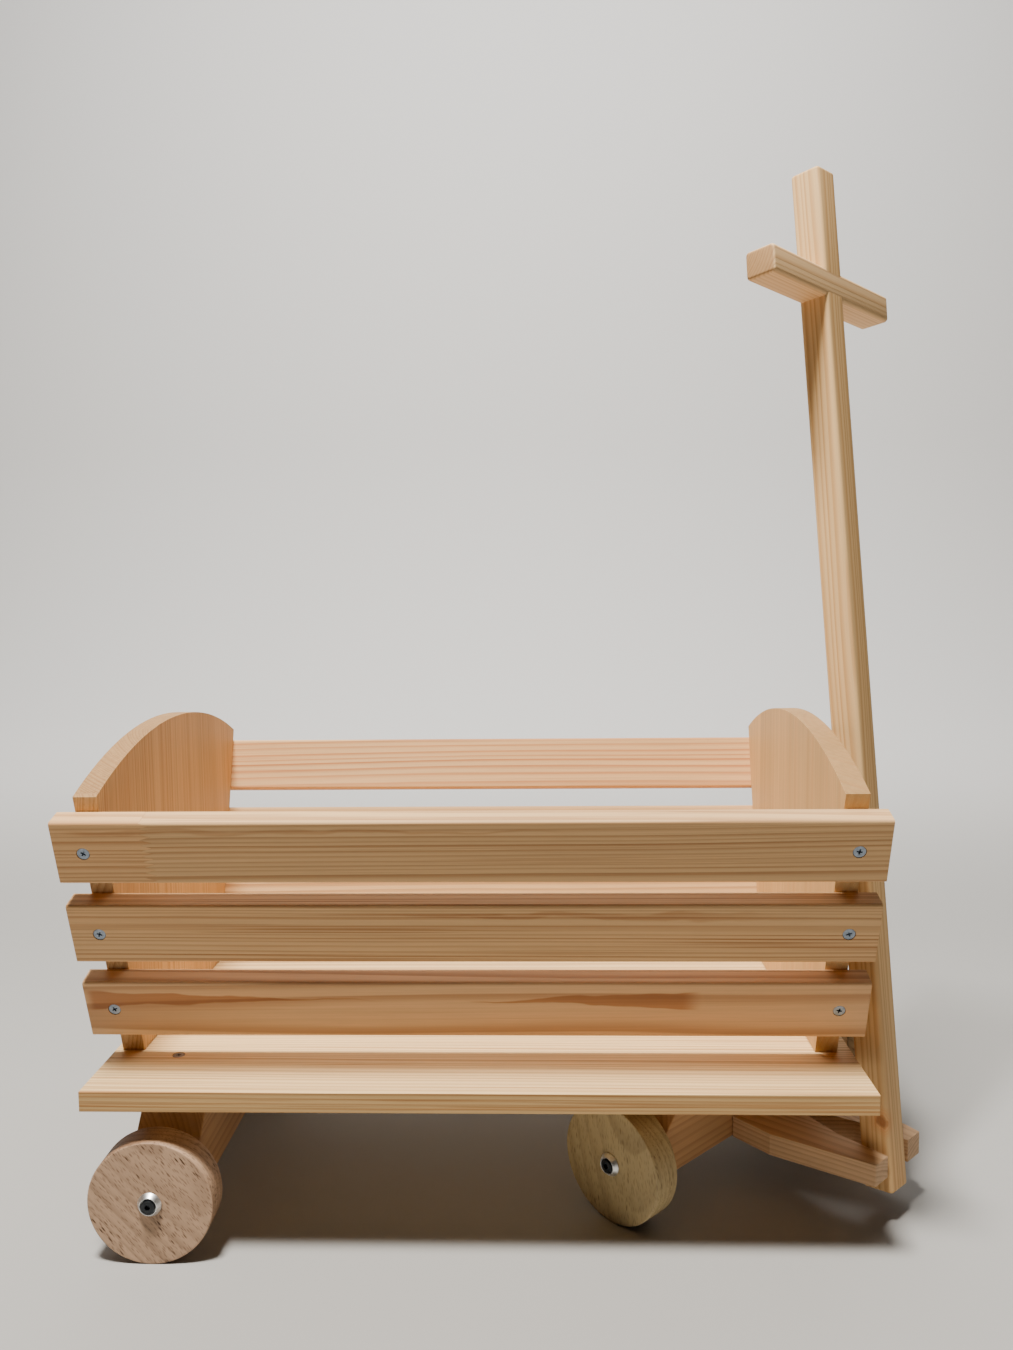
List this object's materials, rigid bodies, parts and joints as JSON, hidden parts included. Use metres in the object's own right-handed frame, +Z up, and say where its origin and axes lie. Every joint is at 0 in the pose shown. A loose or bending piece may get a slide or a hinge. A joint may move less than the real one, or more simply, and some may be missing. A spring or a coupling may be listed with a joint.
{
  "type": "toy pull wagon",
  "caption": "Small wooden pull wagon with outward-sloping slatted sides, arched end boards, solid wheels, a steered front axle and a hinged T-shaped pull rod.",
  "frame": {"origin": "on the ground under the centre of the overall box", "axes": "+X to the front, the pull-rod end; +Y to the far side, away from the side the front axle is steered to; +Z up"},
  "size_m": [0.6206, 0.3444, 0.7719],
  "materials": {
    "pine_floor": "smooth, matt",
    "pine_end": "smooth, matt",
    "pine_slat": "smooth, matt",
    "beam_wood": "smooth, matt",
    "wheel_wood": "smooth, matt, fine flecks",
    "fork_wood": "smooth, matt",
    "rod_wood": "smooth, matt",
    "bar_wood": "smooth, matt",
    "zinc": "zinc plated",
    "rosette": "bright nickel",
    "black_steel": "black oxide"
  },
  "bodies": {
    "wagon": {"floor_plank_near": "pine_floor", "floor_plank_middle": "pine_floor", "floor_plank_far": "pine_floor", "end_board_rear": "pine_end", "end_board_front": "pine_end", "slat_near_top": "pine_slat", "slat_near_mid": "pine_slat", "slat_near_low": "pine_slat", "slat_far_top": "pine_slat", "slat_far_mid": "pine_slat", "slat_far_low": "pine_slat", "slat_screw_near_top_rear": "zinc", "slat_screw_near_top_front": "zinc", "slat_screw_near_mid_rear": "zinc", "slat_screw_near_mid_front": "zinc", "slat_screw_near_low_rear": "zinc", "slat_screw_near_low_front": "zinc", "slat_screw_far_top_rear": "zinc", "slat_screw_far_top_front": "zinc", "slat_screw_far_mid_rear": "zinc", "slat_screw_far_mid_front": "zinc", "slat_screw_far_low_rear": "zinc", "slat_screw_far_low_front": "zinc", "floor_screw_rear_1": "zinc", "floor_screw_rear_2": "zinc", "floor_screw_rear_3": "zinc", "floor_screw_front_1": "zinc", "floor_screw_front_2": "zinc", "floor_screw_front_3": "zinc", "rear_axle_beam": "beam_wood", "kingpin_bolt": "zinc", "steering_washer": "zinc", "kingpin_washer": "zinc", "kingpin_nut": "zinc", "wheel_bolt_rear_near": "black_steel", "wheel_bolt_rear_far": "black_steel", "wheel_rosette_rear_near": "rosette", "wheel_rosette_rear_far": "rosette", "wheel_washer_rear_near": "zinc", "wheel_washer_rear_far": "zinc"},
    "front_axle": {"front_axle_beam": "beam_wood", "fork_arm_near": "fork_wood", "fork_arm_far": "fork_wood", "pivot_bolt": "zinc", "pivot_washer": "zinc", "wheel_bolt_front_near": "black_steel", "wheel_bolt_front_far": "black_steel", "wheel_rosette_front_near": "rosette", "wheel_rosette_front_far": "rosette", "wheel_washer_front_near": "zinc", "wheel_washer_front_far": "zinc"},
    "handle": {"pull_rod": "rod_wood", "cross_bar": "bar_wood"},
    "wheel_rear_near_body": {"wheel_rear_near": "wheel_wood"},
    "wheel_rear_far_body": {"wheel_rear_far": "wheel_wood"},
    "wheel_front_near_body": {"wheel_front_near": "wheel_wood"},
    "wheel_front_far_body": {"wheel_front_far": "wheel_wood"}
  },
  "joints": [
    {"name": "steering", "type": "hinge", "parent": "wagon", "child": "front_axle", "pos_m": [0.17529, 0, 0.0735], "axis": [0, 0, 1], "range_deg": [0, 80]},
    {"name": "handle_fold", "type": "hinge", "parent": "front_axle", "child": "handle", "pos_m": [0.26436, -0.08969, 0.0458], "axis": [0.7096, 0.7046, 0], "range_deg": [0, 95]},
    {"name": "wheel_rear_near_spin", "type": "hinge", "parent": "wagon", "child": "wheel_rear_near_body", "pos_m": [-0.25911, -0.1465, 0.044], "axis": [0, -1, 0], "continuous": true},
    {"name": "wheel_rear_far_spin", "type": "hinge", "parent": "wagon", "child": "wheel_rear_far_body", "pos_m": [-0.25911, 0.1465, 0.044], "axis": [0, 1, 0], "continuous": true},
    {"name": "wheel_front_near_spin", "type": "hinge", "parent": "front_axle", "child": "wheel_front_near_body", "pos_m": [0.06995, -0.09615, 0.044], "axis": [-0.7096, -0.7046, 0], "continuous": true},
    {"name": "wheel_front_far_spin", "type": "hinge", "parent": "front_axle", "child": "wheel_front_far_body", "pos_m": [0.27218, 0.10467, 0.044], "axis": [0.7096, 0.7046, 0], "continuous": true}
  ]
}
